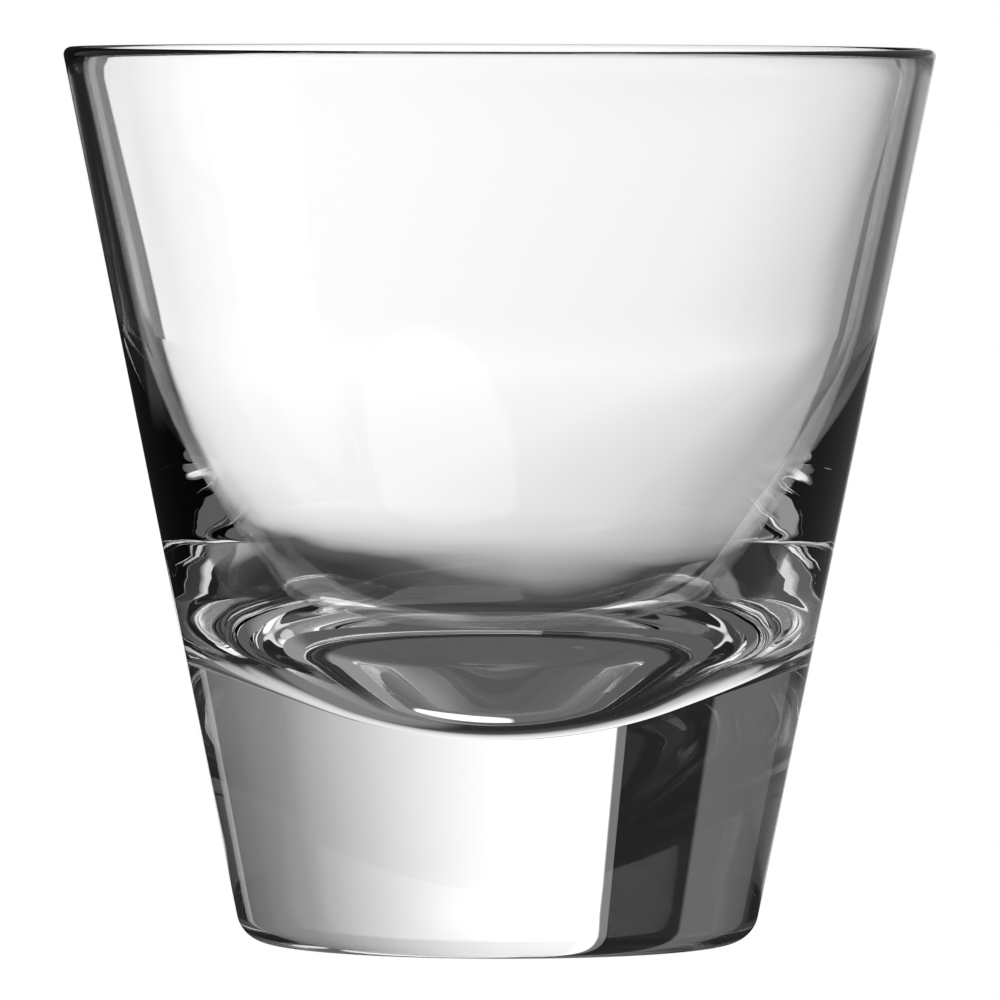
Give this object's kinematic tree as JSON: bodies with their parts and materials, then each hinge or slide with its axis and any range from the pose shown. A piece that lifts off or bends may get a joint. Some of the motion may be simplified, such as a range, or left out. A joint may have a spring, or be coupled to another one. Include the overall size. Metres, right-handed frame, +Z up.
{
  "type": "cortado glass",
  "caption": "Small clear tapered coffee glass with a thin rim, a round-bottomed well and a thick solid base.",
  "frame": {"origin": "centre of the ring that the glass stands on, in the plane of the table", "axes": "+Z up along the axis of the glass, from the base to the rim; the glass is round, so X and Y are level and free"},
  "size_m": [0.075, 0.075, 0.077],
  "materials": {
    "clear_glass": "clear soda-lime glass, fire-polished"
  },
  "bodies": {
    "root": {"glass_body": "clear_glass"}
  },
  "joints": []
}
